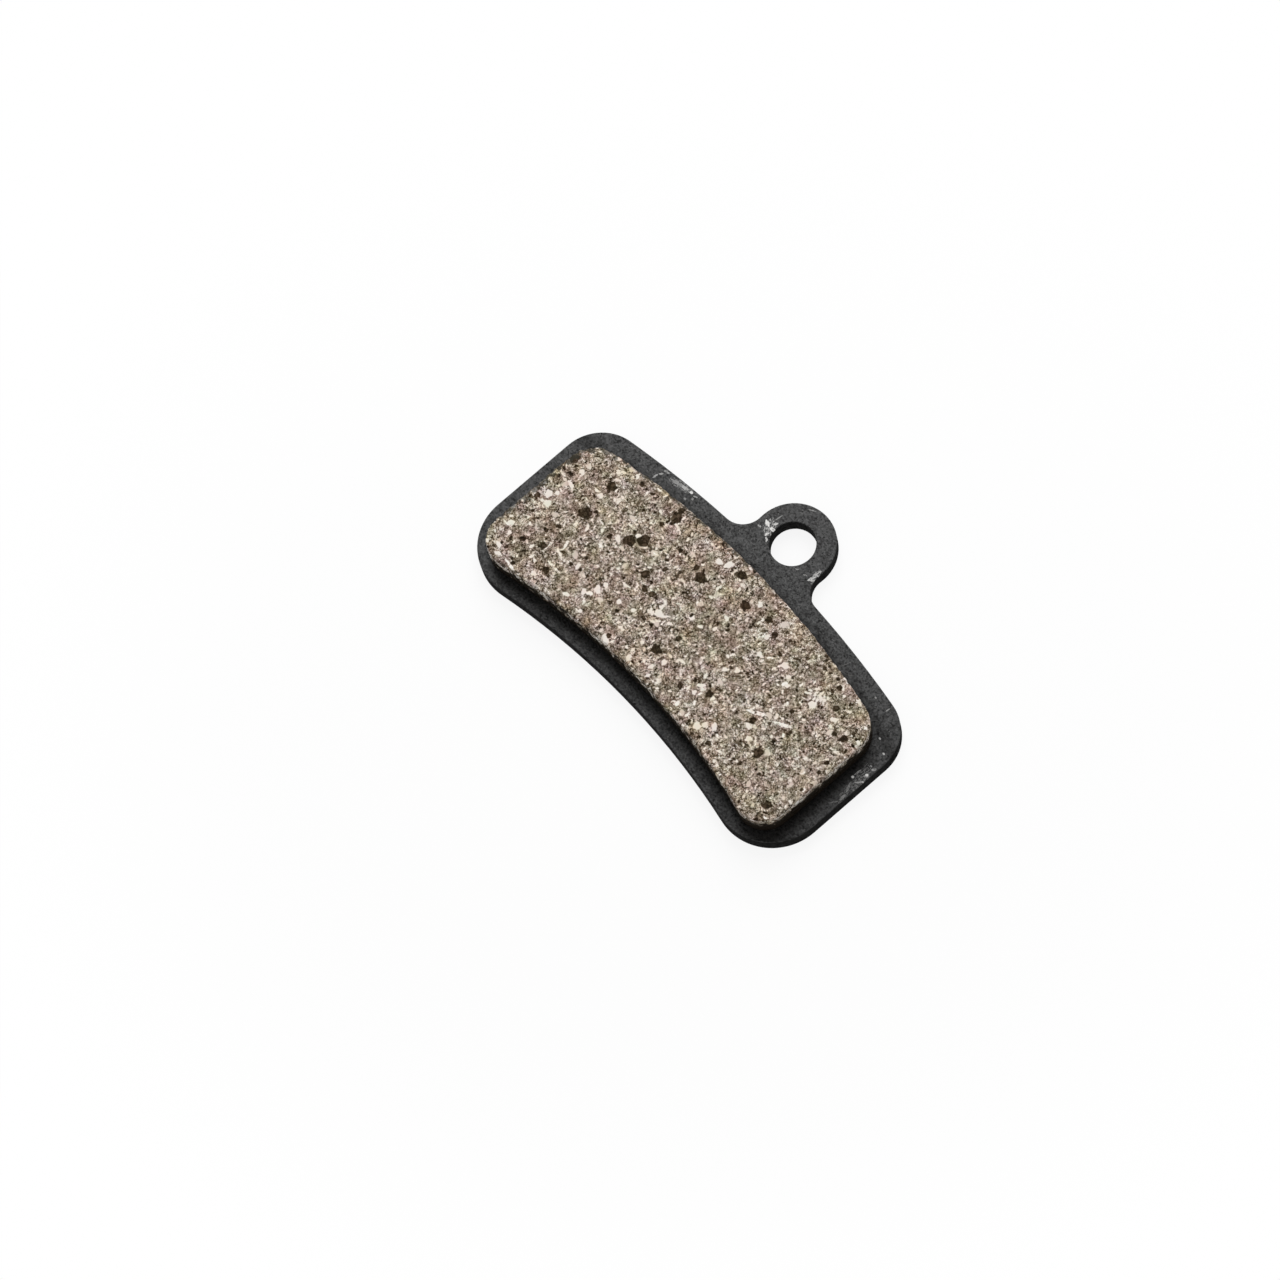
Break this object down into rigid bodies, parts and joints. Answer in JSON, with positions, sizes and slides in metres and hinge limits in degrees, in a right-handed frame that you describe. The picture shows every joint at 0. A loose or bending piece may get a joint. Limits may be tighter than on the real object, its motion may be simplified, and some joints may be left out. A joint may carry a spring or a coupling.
{
  "type": "bicycle disc brake pad",
  "caption": "Bicycle disc brake pad: an arched block of speckled friction compound bonded to a black coated steel backing plate, with a round ear that hangs it on a retaining pin.",
  "frame": {"origin": "on the axis of the retaining-pin hole, in the plane of the plate's back face", "axes": "+X along the pad, +Y from the pad out through the ear, +Z out of the friction face"},
  "size_m": [0.0424, 0.0256, 0.0039],
  "materials": {
    "plate_coat": "matte",
    "friction_compound": "matte"
  },
  "bodies": {
    "root": {"backing_plate": "plate_coat", "friction_block": "friction_compound"}
  },
  "joints": []
}
